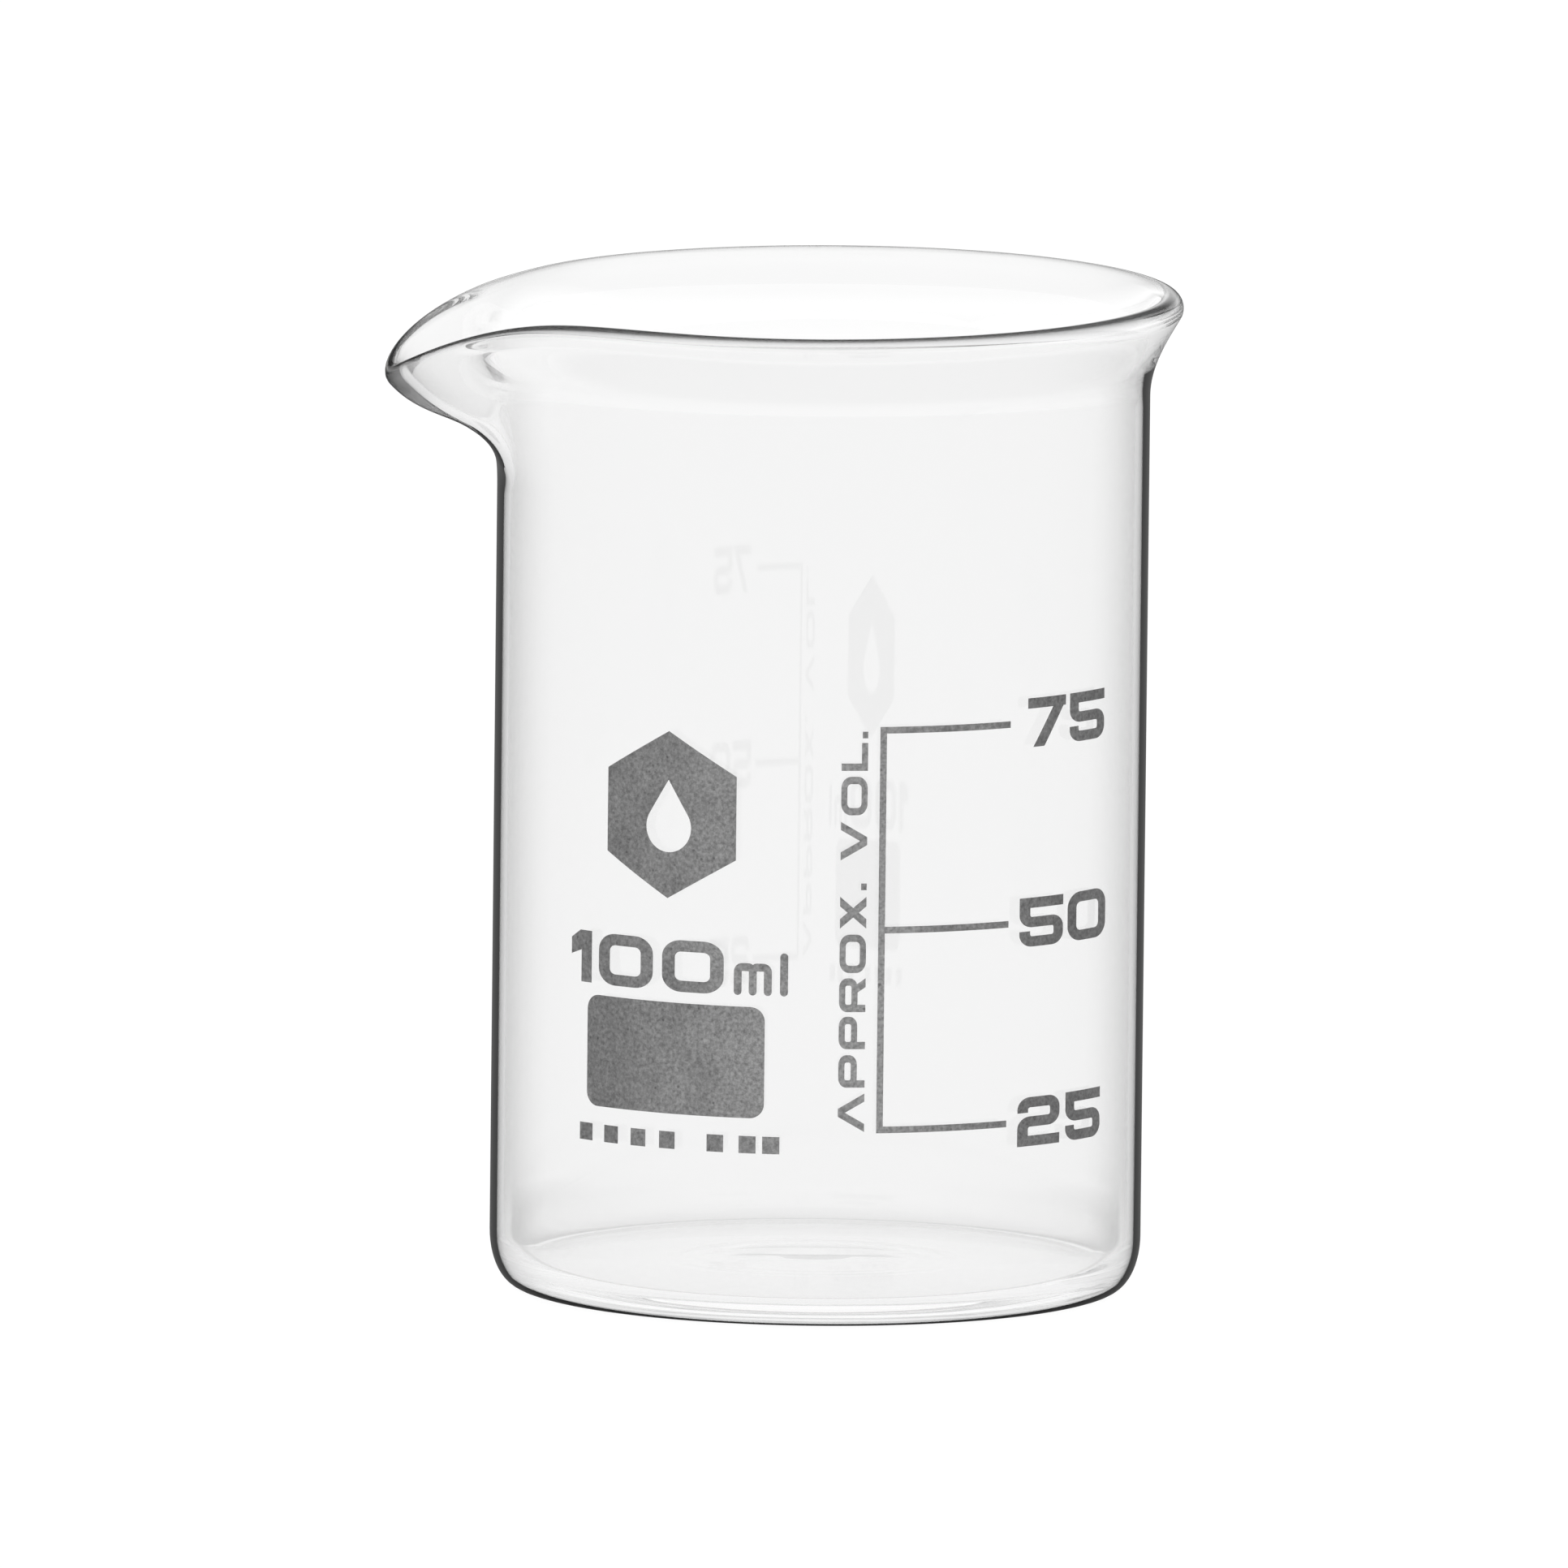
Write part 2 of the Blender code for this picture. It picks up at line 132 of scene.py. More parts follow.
# Print. A stretch above 1 widens a glyph along its line, so its stems are thicker than its level strokes.
# The drop's sizes are shares of the hexagon's side
SCALE_LINE = 0.5
NUMERAL_STROKE = 0.78
NUMERAL_STRETCH = 1.3
CAPACITY_STROKE = 0.85
CAPACITY_STRETCH = 1.25
UNIT_STROKE = 0.6
PATCH_CORNER = 1.1
HEADING_STROKE = 0.46
HEADING_STRETCH = 1.2
HEADING_TRIM = 0.6
HEADING_SHIFT = 0.4
CODE_SQUARES = 7
DROP_RADIUS = 0.3
DROP_HEIGHT = 0.57

# Studio
CAMERA_AZIMUTH = math.radians(-16)
CAMERA_ELEVATION = math.radians(7.6)
CAMERA_ROLL = math.radians(0.62)
CAMERA_DISTANCE = 4.0
CAMERA_SIDE = -0.0027
CAMERA_HEIGHT = 0.0379
VIEW_WIDTH = 0.1179
SENSOR = 36.0
CLIP = (0.1, 40.0)
FLOOR_SIZE = 30.0
FLOOR_DROP = 0.0002
FLOOR_GLOW = 0.95
FLOOR_MATT = 0.12
MIRRORED_FLOOR = 0.07
SKY_GLOW = 1.08
LIGHT_BOUNCES = 256


def smooth_step(value):
    value = min(max(value, 0.0), 1.0)
    return value * value * (3.0 - 2.0 * value)


def fade(depth, top, bottom):
    """1 above the top depth, falling smoothly to 0 at the bottom depth."""
    return 1.0 - smooth_step((depth - top) / (bottom - top))


def bump(turn, spread, sharpness):
    """1 at no turn, falling to nothing a few spreads away."""
    return math.exp(-((turn / spread) ** sharpness))


def add_piece(name, points, faces, replaced):
    """A smooth mesh piece from points in millimetres that stands for one CAD node."""
    mesh = bpy.data.meshes.new(name)
    mesh.from_pydata([[value * MM for value in point] for point in points], [], faces)
    mesh.shade_smooth()
    piece = bpy.data.objects.new(name, mesh)
    bpy.context.scene.collection.objects.link(piece)
    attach(piece, "root")
    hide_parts(replaced)
    return piece


# ---------------------------------------------------------------- glass shape


LIP_RISE = LIP_DEPTH - BEAD_RADIUS
LIP_RUN = BEAD_RING_RADIUS - (OUTER_RADIUS - WALL / 2)
LIP_LEAN = 2 * math.atan(LIP_RUN / LIP_RISE)
LIP_ARC = LIP_RISE / math.sin(LIP_LEAN)


def lip_radius(depth):
    """Radius of the middle of the wall: straight below the lip, then an arc that leans outwards."""
    climb = max(LIP_DEPTH - depth, 0.0) / LIP_ARC
    return OUTER_RADIUS - WALL / 2 + LIP_ARC * (1.0 - math.sqrt(1.0 - climb * climb))


def wall_point(angle, depth):
    """(radius, depth) of the middle of the wall, pushed out and down at the spout, where the angle is 0."""
    turn = abs(angle)
    shaped = fade(depth, 0.0, SPOUT_DEPTH)
    spread = REACH_SPREAD * (1.0 - SPREAD_LOSS * depth / SPOUT_DEPTH)
    push = SPOUT_REACH * bump(turn, spread, REACH_SHARPNESS) * shaped
    pinch = PINCH * bump(abs(turn - PINCH_PLACE), PINCH_SPREAD, 2) * fade(depth, 0.0, PINCH_DEPTH)
    dip = SPOUT_DIP * bump(turn, DIP_SPREAD, DIP_SHARPNESS) * fade(depth, DIP_TOP, DIP_BOTTOM)
    lift = RIM_TILT * math.cos(angle + SPOUT_DIRECTION - TILT_DIRECTION) * shaped
    return lip_radius(depth) + push - pinch, depth + dip - lift


def wall_section(angle, depth):
    """The middle of the wall, its outward normal, both as (radius, height), and half its thickness."""
    radius, sunk = wall_point(angle, depth)
    above = wall_point(angle, depth - SLOPE_STEP)
    below = wall_point(angle, depth + SLOPE_STEP)
    run, rise = above[0] - below[0], below[1] - above[1]
    length = math.hypot(run, rise)
    normal = (rise / length, -run / length)
    swelling = smooth_step((LIP_DEPTH - depth) / LIP_RISE) * (BEAD_RADIUS - WALL / 2)
    thinning = 1.0 - BEAD_THINNING * bump(abs(angle), REACH_SPREAD, 2)
    return (radius, HEIGHT - sunk), normal, WALL / 2 + swelling * thinning


def lip_depths():
    """Depths of the lip's rings, from the foot of the spout up to the middle of the bead."""
    climb = (SPOUT_DEPTH - LIP_DEPTH) / SPOUT_STEPS
    straight = [SPOUT_DEPTH - climb * step for step in range(SPOUT_STEPS)]
    leans = [LIP_LEAN * step / LIP_STEPS for step in range(LIP_STEPS + 1)]
    return straight + [LIP_DEPTH - LIP_ARC * math.sin(lean) for lean in leans]


def corner(radius, low, size):
    """Quarter of an ellipse, from a flat at the low height out and up to the wall at the radius."""
    start = radius - size[0]
    turns = [math.pi / 2 * step / CORNER_STEPS for step in range(CORNER_STEPS + 1)]
    return [(start + size[0] * math.sin(turn), low + size[1] * (1.0 - math.cos(turn))) for turn in turns]


def underside_height(radius):
    """Flat where the beaker stands, hollow inside that, with the ring that the mould leaves."""
    hollow = HOLLOW * (1.0 - smooth_step(radius / CONTACT_RADIUS) ** HOLLOW_SHARPNESS)
    return hollow + MOULD_RING_RISE * bump(abs(radius - MOULD_RING_RADIUS), MOULD_RING_WIDTH, 2)


def floor_height(radius):
    """Slightly swollen towards the middle, with a shallow ring and a dimple."""
    dimple = DIMPLE_DEPTH * fade(radius, DIMPLE_FLAT * DIMPLE_RADIUS, DIMPLE_RADIUS)
    ring = MOULD_RING_RISE * bump(abs(radius - FLOOR_RING_RADIUS), FLOOR_RING_WIDTH, 2)
    swell = FLOOR_SWELL * fade(radius, DIMPLE_RADIUS, OUTER_RADIUS - INNER_CORNER[0])
    return FLOOR + swell - dimple - ring


def body_outline(angle):
    """Points (radius, height, inside, rim) from the underside's middle round to the floor's middle."""
    flat_edge = OUTER_RADIUS - OUTER_CORNER[0]
    floor_edge = OUTER_RADIUS - WALL - INNER_CORNER[0]
    shares = [(step + 1) / DISC_STEPS for step in range(DISC_STEPS - 1)]
    outer_corner = corner(OUTER_RADIUS, 0.0, OUTER_CORNER)
    inner_corner = corner(OUTER_RADIUS - WALL, FLOOR, INNER_CORNER)
    low, high = OUTER_CORNER[1], HEIGHT - SPOUT_DEPTH
    rises = [low + (high - low) * (step + 1) / WALL_STEPS for step in range(WALL_STEPS - 1)]
    outside, inside = [], []
    for depth in lip_depths():
        (radius, height), normal, half = wall_section(angle, depth)
        rim = smooth_step((LIP_DEPTH - depth) / LIP_RISE)
        outside.append((radius + half * normal[0], height + half * normal[1], 0.0, rim))
        inside.append((radius - half * normal[0], height - half * normal[1], 1.0, rim))
    start = math.atan2(normal[1], normal[0])
    bead = []
    for step in range(1, BEAD_STEPS):
        share = step / BEAD_STEPS
        turn = start + math.pi * share
        bead.append((radius + half * math.cos(turn), height + half * math.sin(turn), share, 1.0))
    outline = [(flat_edge * share, underside_height(flat_edge * share), 0.0, 0.0) for share in shares]
    outline += [(*point, 0.0, 0.0) for point in outer_corner]
    outline += [(OUTER_RADIUS, rise, 0.0, 0.0) for rise in rises]
    outline += outside + bead + inside[::-1]
    outline += [(OUTER_RADIUS - WALL, rise, 1.0, 0.0) for rise in reversed(rises)]
    outline += [(*point, 1.0, 0.0) for point in reversed(inner_corner)]
    floor_radii = [floor_edge * share for share in reversed(shares)]
    outline += [(radius, floor_height(radius), 1.0, 0.0) for radius in floor_radii]
    return outline


def foot_share(radius, height, inside):
    """1 on the turn between floor and wall: all of it inside, and only its lowest part outside."""
    if inside:
        return fade(height, *FOLD_HEIGHTS) * smooth_step((radius - FOLD_RADIUS) / FOLD_RUN)
    return fade(height, *FOOT_HEIGHTS)


def glass_shares(turn, radius, height, inside, rim):
    """What a point counts as, from 0 to 1, for each of GLASS_SHARES."""
    spout = bump(abs(turn), SPOUT_EDGE, 2) * smooth_step((height - SPOUT_LOW) / SPOUT_CLIMB)
    mouth = bump(abs(turn), MOUTH_EDGE, 4)
    return inside, rim, spout, mouth, foot_share(radius, height, inside)


def glass_body():
    """Columns of points round the axis, joined by quads, with a fan in the middle of each face."""
    points, shares = [], []
    for column in range(COLUMNS):
        around = 2 * math.pi * column / COLUMNS
        turn = math.remainder(around - SPOUT_DIRECTION, 2 * math.pi)
        outline = body_outline(turn)
        run, rise = math.cos(around), math.sin(around)
        points += [(radius * run, radius * rise, height) for radius, height, _, _ in outline]
        shares += [glass_shares(turn, *point) for point in outline]
    count = len(outline)
    underside_middle, floor_middle = len(points), len(points) + 1
    points += [(0.0, 0.0, underside_height(0.0)), (0.0, 0.0, floor_height(0.0))]
    shares += [(0.0, 0.0, 0.0, 0.0, 0.0), (1.0, 0.0, 0.0, 0.0, 0.0)]
    faces = []
    for column in range(COLUMNS):
        here, there = column * count, (column + 1) % COLUMNS * count
        faces.append((underside_middle, there, here))
        for row in range(count - 1):
            faces.append((here + row, there + row, there + row + 1, here + row + 1))
        faces.append((here + count - 1, there + count - 1, floor_middle))
    piece = add_piece("glass_vessel", points, faces, "glass_body")
    for name, values in zip(GLASS_SHARES, zip(*shares)):
        piece.data.attributes.new(name, "FLOAT", "POINT").data.foreach_set("value", values)
    return piece


# ---------------------------------------------------------------- flat shapes of the print


def rectangle(left, low, right, high):
    return [(left, low), (right, low), (right, high), (left, high)]


def slanted_bar(low_left, high_left, width, low, high):
    """A bar with level ends, from the low height to the high one."""
    return [(low_left, low), (low_left + width, low), (high_left + width, high), (high_left, high)]


def rounded_path(corners, radius, sharp=(), closed=False):
    """The corners joined by straight runs, with an arc at each turn that isn't listed as sharp."""
    path = []
    for index, (x, y) in enumerate(corners):
        if index in sharp or (not closed and index in (0, len(corners) - 1)):
            path.append((x, y))
            continue
        before, after = corners[index - 1], corners[(index + 1) % len(corners)]
        start = math.atan2(y - before[1], x - before[0])
        turn = math.remainder(math.atan2(after[1] - y, after[0] - x) - start, 2 * math.pi)
        trim = radius * math.tan(abs(turn) / 2)
        side = math.copysign(math.pi / 2, turn)
        centre = (
            x - trim * math.cos(start) + radius * math.cos(start + side),
            y - trim * math.sin(start) + radius * math.sin(start + side),
        )
        for step in range(ARC_STEPS + 1):
            heading = start + turn * step / ARC_STEPS - side
            path.append((centre[0] + radius * math.cos(heading), centre[1] + radius * math.sin(heading)))
    return path


def band(path, width, closed=False):
    """Quads that give a path its width, mitred where it turns."""
    edges = []
    last = len(path) - 1
    for index, (x, y) in enumerate(path):
        before = path[index - 1] if closed or index else None
        after = path[(index + 1) % len(path)] if closed or index < last else None
        first = before or (x, y)
        then = after or (x, y)
        headings = [
            math.atan2(q[1] - p[1], q[0] - p[0]) for p, q in ((first, (x, y)), ((x, y), then)) if p != q
        ]
        turn = math.remainder(headings[-1] - headings[0], 2 * math.pi)
        side = headings[0] + turn / 2 + math.pi / 2
        reach = width / 2 / math.cos(turn / 2)
        edges.append(
            (
                (x + reach * math.cos(side), y + reach * math.sin(side)),
                (x - reach * math.cos(side), y - reach * math.sin(side)),
            )
        )
    pairs = zip(edges, edges[1:] + edges[:1] if closed else edges[1:])
    return [[start[1], end[1], end[0], start[0]] for start, end in pairs]


def loop(left, low, right, high, stroke, radius):
    """A rounded rectangular ring, drawn inside the given rectangle."""
    inset = stroke / 2
    corners = rectangle(left + inset, low + inset, right - inset, high - inset)
    return band(rounded_path(corners, radius, closed=True), stroke, closed=True)


def round_dot(x, y, size, sides=20):
    turns = [2 * math.pi * (side + 0.5) / sides for side in range(sides)]
    return [(x + size / 2 * math.cos(turn), y + size / 2 * math.sin(turn)) for turn in turns]


def numeral_0(width, height, stroke):
    return loop(0, 0, width, height, stroke, stroke)


def numeral_1(width, height, stroke):
    flag = [
        (0, 0.52 * height),
        (width - stroke, 0.62 * height),
        (width, 0.62 * height),
        (width, height),
        (0.45 * width, height),
        (0, 0.84 * height),
    ]
    return [rectangle(width - stroke, 0, width, 0.7 * height), flag]


def numeral_2(width, height, stroke):
    left, right, low, high = stroke / 2, width - stroke / 2, stroke / 2, height - stroke / 2
    middle = height / 2
    corners = [
        (left, high - stroke),
        (left, high),
        (right, high),
        (right, middle),
        (left, middle),
        (left, low),
        (width, low),
    ]
    return band(rounded_path(corners, 0.7 * stroke, sharp=(5,)), stroke)


def numeral_5(width, height, stroke):
    left, right, low, high = stroke / 2, width - stroke / 2, stroke / 2, height - stroke / 2
    middle = height / 2
    corners = [
        (width, high),
        (left, high),
        (left, middle),
        (right, middle),
        (right, low),
        (left, low),
        (left, low + stroke),
    ]
    return band(rounded_path(corners, 0.7 * stroke, sharp=(1,)), stroke)


def numeral_7(width, height, stroke):
    bar = rectangle(0, height - stroke, width, height)
    leg = slanted_bar(0.14 * width, 0.72 * width, 0.28 * width, 0, height - stroke / 2)
    return [bar, leg]


def letter_m(width, height, stroke):
    left, middle, right = stroke / 2, width / 2, width - stroke / 2
    high = height - stroke / 2
    shapes = []
    for start, end in ((left, middle), (middle, right)):
        corners = [(start, stroke / 2), (start, high), (end, high), (end, stroke / 2)]
        shapes += band(rounded_path(corners, 0.6 * stroke), stroke)
    return shapes + [round_dot(foot, stroke / 2, stroke) for foot in (left, middle, right)]


def letter_l(width, height, stroke):
    ends = [round_dot(width / 2, place, stroke) for place in (stroke / 2, height - stroke / 2)]
    return [rectangle(0, stroke / 2, width, height - stroke / 2)] + ends


def letter_a(width, height, stroke):
    bar = 1.1 * stroke
    return [
        slanted_bar(0, (width - bar) / 2, bar, 0, height),
        slanted_bar(width - bar, (width - bar) / 2, bar, 0, height),
    ]


def letter_v(width, height, stroke):
    return [[(x, height - y) for x, y in reversed(bar)] for bar in letter_a(width, height, stroke)]


def letter_p(width, height, stroke):
    bowl = loop(0, 0.3 * height, width, height, stroke, 0.8 * stroke)
    return bowl + [rectangle(0, 0, stroke, 0.65 * height)]


def letter_r(width, height, stroke):
    leg = slanted_bar(width - 1.2 * stroke, 0.5 * width, 1.2 * stroke, 0, 0.45 * height)
    return letter_p(width, height, stroke) + [leg]


def letter_o(width, height, stroke):
    return loop(0, 0, width, height, stroke, 1.1 * stroke)


def letter_x(width, height, stroke):
    bar = 1.3 * stroke
    return [
        slanted_bar(0, width - bar, bar, 0, height),
        slanted_bar(width - bar, 0, bar, 0, height),
    ]


def big_letter_l(width, height, stroke):
    return [rectangle(0, 0, stroke, height), rectangle(0, 0, width, stroke)]


def block(width, height, stroke):
    return [rectangle(0, 0, width, height)]


def rounded_block(width, height, radius):
    return [rounded_path(rectangle(0, 0, width, height), radius, closed=True)]


def scale_bracket(width, height, line):
    lows = [share * (height - line) for share in (0, 0.5, 1)]
    ticks = [rectangle(0, low, width, low + line) for low in lows]
    return [rectangle(0, 0, line, height)] + ticks


def hexagon(x, y, side):
    turns = [math.pi / 2 + math.pi / 3 * place for place in range(6)]
    return [(x + side * math.cos(turn), y + side * math.sin(turn)) for turn in turns]


def drop(x, y, radius, height):
    """A drop: a round bottom whose sides run up, tangent to it, to a point."""
    low = y - radius / 2
    shoulder = math.acos(radius / height)
    sides = 5 * ARC_STEPS
    sweep = 2 * (math.pi - shoulder)
    turns = [math.pi / 2 + shoulder + sweep * side / sides for side in range(sides + 1)]
    bottom = [(x + radius * math.cos(turn), low + radius * math.sin(turn)) for turn in turns]
    return bottom + [(x, low + height)]


# ---------------------------------------------------------------- enamel


def print_box(node):
    """(left, low, right, high) of a printed CAD node, laid out flat in millimetres."""
    corners = [vertex.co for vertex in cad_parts[node].data.vertices]
    across = [math.atan2(point.x, -point.y) * OUTER_RADIUS for point in corners]
    up = [point.z / MM for point in corners]
    return min(across), min(up), max(across), max(up)


def on_wall(across, up, lift):
    around = across / OUTER_RADIUS
    radius = OUTER_RADIUS + lift
    return radius * math.sin(around), -radius * math.cos(around), up


def enamel(node, shapes, hole=None):
    """One closed, thin piece over the union of the flat shapes, bent round the wall."""
    flat, outlines, cuts = [], [], []
    for shape in shapes + ([hole] if hole else []):
        outlines.append(list(range(len(flat), len(flat) + len(shape))))
        flat += shape
    low, high = min(y for _, y in flat), max(y for _, y in flat)
    first = math.ceil(min(x for x, _ in flat) / ENAMEL_COLUMN)
    last = math.floor(max(x for x, _ in flat) / ENAMEL_COLUMN)
    for line in range(first, last + 1):
        cuts.append((len(flat), len(flat) + 1))
        flat += [(line * ENAMEL_COLUMN, low), (line * ENAMEL_COLUMN, high)]
    found = delaunay_2d_cdt(flat, cuts, outlines, 0, 1e-5)
    places, triangles, sources = found[0], found[2], found[5]
    kept = [
        tri for tri, source in zip(triangles, sources) if source and not (hole and len(shapes) in source)
    ]
    used = sorted({corner for tri in kept for corner in tri})
    order = {corner: index for index, corner in enumerate(used)}
    count = len(used)
    points = [on_wall(*places[corner], ENAMEL_LIFT) for corner in used]
    points += [on_wall(*places[corner], ENAMEL_LIFT + ENAMEL_THICKNESS) for corner in used]
    faces, border = [], {}
    for tri in kept:
        inner = [order[corner] for corner in tri]
        faces.append(inner[::-1])
        faces.append([index + count for index in inner])
        for start, end in zip(inner, inner[1:] + inner[:1]):
            if (end, start) in border:
                del border[end, start]
            else:
                border[start, end] = True
    faces += [(start, end, end + count, start + count) for start, end in border]
    piece = add_piece(f"{node}_enamel", points, faces, node)
    piece.data.set_sharp_from_angle(angle=ENAMEL_CREASE)
    return piece


def upright_glyph(node, glyph, stroke, stretch=1.0):
    """A glyph that fills its node's box, drawn narrower and stretched sideways."""
    left, low, right, high = print_box(node)
    shapes = glyph((right - left) / stretch, high - low, stroke)
    return enamel(node, [[(left + stretch * x, low + y) for x, y in shape] for shape in shapes])


def upward_glyph(node, glyph):
    """A heading glyph turned a quarter turn anticlockwise, so that it reads upwards."""
    left, low, right, high = print_box(node)
    tall = right - left - (0.0 if glyph is block else HEADING_TRIM)
    foot = right - HEADING_SHIFT
    shapes = glyph((high - low) / HEADING_STRETCH, tall, HEADING_STROKE)
    return enamel(node, [[(foot - y, low + HEADING_STRETCH * x) for x, y in shape] for shape in shapes])


GLYPHS = {
    "scale_bracket": (scale_bracket, SCALE_LINE),
    "scale_25_digit_2": (numeral_2, NUMERAL_STROKE, NUMERAL_STRETCH),
    "scale_25_digit_5": (numeral_5, NUMERAL_STROKE, NUMERAL_STRETCH),
    "scale_50_digit_5": (numeral_5, NUMERAL_STROKE, NUMERAL_STRETCH),
    "scale_50_digit_0": (numeral_0, NUMERAL_STROKE, NUMERAL_STRETCH),
    "scale_75_digit_7": (numeral_7, NUMERAL_STROKE, NUMERAL_STRETCH),
    "scale_75_digit_5": (numeral_5, NUMERAL_STROKE, NUMERAL_STRETCH),
    "capacity_1": (numeral_1, CAPACITY_STROKE, CAPACITY_STRETCH),
    "capacity_0_left": (numeral_0, CAPACITY_STROKE, CAPACITY_STRETCH),
    "capacity_0_right": (numeral_0, CAPACITY_STROKE, CAPACITY_STRETCH),
    "capacity_unit_m": (letter_m, UNIT_STROKE),
    "capacity_unit_l": (letter_l, UNIT_STROKE),
    "marking_patch": (rounded_block, PATCH_CORNER),
}
HEADING = {
    "heading_a": letter_a,
    "heading_p_1": letter_p,
    "heading_p_2": letter_p,
    "heading_r": letter_r,
    "heading_o_1": letter_o,
    "heading_x": letter_x,
    "heading_stop_1": block,
    "heading_v": letter_v,
    "heading_o_2": letter_o,
    "heading_l": big_letter_l,
    "heading_stop_2": block,
}


def generic_mark():
    """A plain hexagon with a drop left open in its middle."""
    left, low, right, high = print_box("generic_mark")
    side = (high - low) / 2
    centre = ((left + right) / 2, (low + high) / 2)
    opening = drop(*centre, DROP_RADIUS * side, DROP_HEIGHT * side)
    return enamel("generic_mark", [hexagon(*centre, side)], hole=opening)


def make_print():
    pieces = [upright_glyph(node, *drawn) for node, drawn in GLYPHS.items()]
    pieces += [upward_glyph(node, glyph) for node, glyph in HEADING.items()]
    pieces += [upright_glyph(f"code_square_{place + 1}", block, 0) for place in range(CODE_SQUARES)]
    return pieces + [generic_mark()]


# ---------------------------------------------------------------- materials


class Nodes:
    """Adds nodes to one node tree, linking each input that is given a socket and setting the others."""

    def __init__(self, tree):
        self.tree = tree
        tree.nodes.clear()

    def add(self, kind, inputs=None, **settings):
        node = self.tree.nodes.new(kind)
        for name, value in settings.items():
            setattr(node, name, value)
        for key, value in (inputs or {}).items():
            if isinstance(value, bpy.types.NodeSocket):
                self.tree.links.new(value, node.inputs[key])
            else:
                node.inputs[key].default_value = value
        return node

    def maths(self, operation, first, second=0.0, third=0.0, clamp=False):
        values = {0: first, 1: second, 2: third}
        return self.add("ShaderNodeMath", values, operation=operation, use_clamp=clamp).outputs[0]

    def product(self, first, second):
        return self.maths("MULTIPLY", first, second)

    def rest(self, value):
        """What is left of 1."""
        return self.maths("SUBTRACT", 1.0, value)

    def mix(self, share, first, second, blend="MIX"):
        """The first tone or colour where the share is 0, and its blend with the second where it is 1."""
        colours = {
            key: value if isinstance(value, bpy.types.NodeSocket) else shade(value)
            for key, value in ((6, first), (7, second))
        }
        node = self.add("ShaderNodeMix", {"Factor": share, **colours}, data_type="RGBA", blend_type=blend)
        return node.outputs[2]

    def ramp(self, value, stops):
        node = self.add("ShaderNodeValToRGB", {"Fac": value})
        elements = node.color_ramp.elements
        while len(elements) > 1:
            elements.remove(elements[-1])
        elements[0].position = stops[0][0]
        elements[0].color = shade(stops[0][1])
        for place, tone in stops[1:]:
            elements.new(place).color = shade(tone)
        return node.outputs["Color"]

    def attribute(self, name):
        return self.add("ShaderNodeAttribute", attribute_name=name).outputs["Fac"]

    def height(self, vector):
        return self.add("ShaderNodeSeparateXYZ", {0: vector}).outputs["Z"]

    def mirrored(self):
        """1 for a ray that comes straight from a mirror-like reflection, and 0 for any other."""
        path = self.add("ShaderNodeLightPath")
        return self.product(path.outputs["Is Reflection Ray"], path.outputs["Is Glossy Ray"])


def shade(tone):
    """A grey with full alpha."""
    return tone, tone, tone, 1.0


def new_material(name):
    """A material and its emptied node tree."""
    material = bpy.data.materials.new(name)
    material.use_nodes = True
    return material, Nodes(material.node_tree)


def outline_share(nodes, normal, rim, spout):
    """Where painted shade outlines the glass: 1 where it stands upright or faces down, and 0 where it faces
    up or flares away from the spout.
    """
    standing = nodes.ramp(nodes.height(normal), ((0.1, 1.0), (0.7, 0.0)))
    high = nodes.ramp(rim, ((0.35, 0.0), (0.6, 1.0)))
    return nodes.product(standing, nodes.rest(nodes.product(high, nodes.rest(spout))))


def outline_painted_shade(nodes, cosine, inside, spout, foot):
    """Painted shade of the outlines: black at glancing angles on the outside, over more of the turn at the
    foot, and grey on the inside.
    """
    width = nodes.maths("MULTIPLY_ADD", foot, 2.0 * WALL_EDGE, 2.0 * WALL_EDGE)
    place = nodes.maths("DIVIDE", cosine, width, clamp=True)
    plain = nodes.ramp(
        place, ((0.0, 0.0), (0.4, 0.0), (0.45, 0.35), (0.55, 0.7), (0.83, 0.88), (1.0, GLASS_TINT))
    )
    crisp = nodes.ramp(cosine, ((0.0, 0.0), (0.2, 0.01), (0.26, GLASS_TINT)))
    inner = nodes.ramp(place, ((0.0, 0.6), (0.5, 0.75), (1.0, GLASS_TINT)))
    return nodes.mix(inside, nodes.mix(spout, plain, crisp), inner)


def fold_painted_shade(nodes, cosine):
    """Painted shade: a grey line on the inner turn between floor and wall, at glancing angles."""
    return nodes.ramp(
        cosine,
        ((0.0, GLASS_TINT), (0.2, GLASS_TINT), (0.25, 0.45), (0.32, 0.45), (0.5, 0.8), (0.95, GLASS_TINT)),
    )


def tip_share(nodes, inside, rim, spout):
    """Where painted shade fills the spout: 1 on the outer half of the bead at the very tip of the spout."""
    outer = nodes.ramp(inside, ((0.5, 1.0), (0.62, 0.0)))
    return nodes.product(nodes.product(outer, rim), nodes.maths("POWER", spout, 8.0))


# Painted shade: the spout's tip dark at all but nearly square-on angles
def tip_painted_shade(nodes, cosine):
    return nodes.ramp(cosine, ((0.0, 0.0), (0.75, 0.01), (0.85, 0.06), (0.9, GLASS_TINT)))


def crest_share(nodes, inside, mouth):
    """Where the painted shade of the bead's line goes: 1 along the top of the bead, a little further out near
    the spout.
    """
    turned = nodes.maths("ADD", inside, nodes.product(mouth, MOUTH_SHIFT))
    return nodes.ramp(turned, ((0.3, 0.0), (0.5, 1.0), (0.66, 1.0), (0.8, 0.25), (0.9, 0.0)))


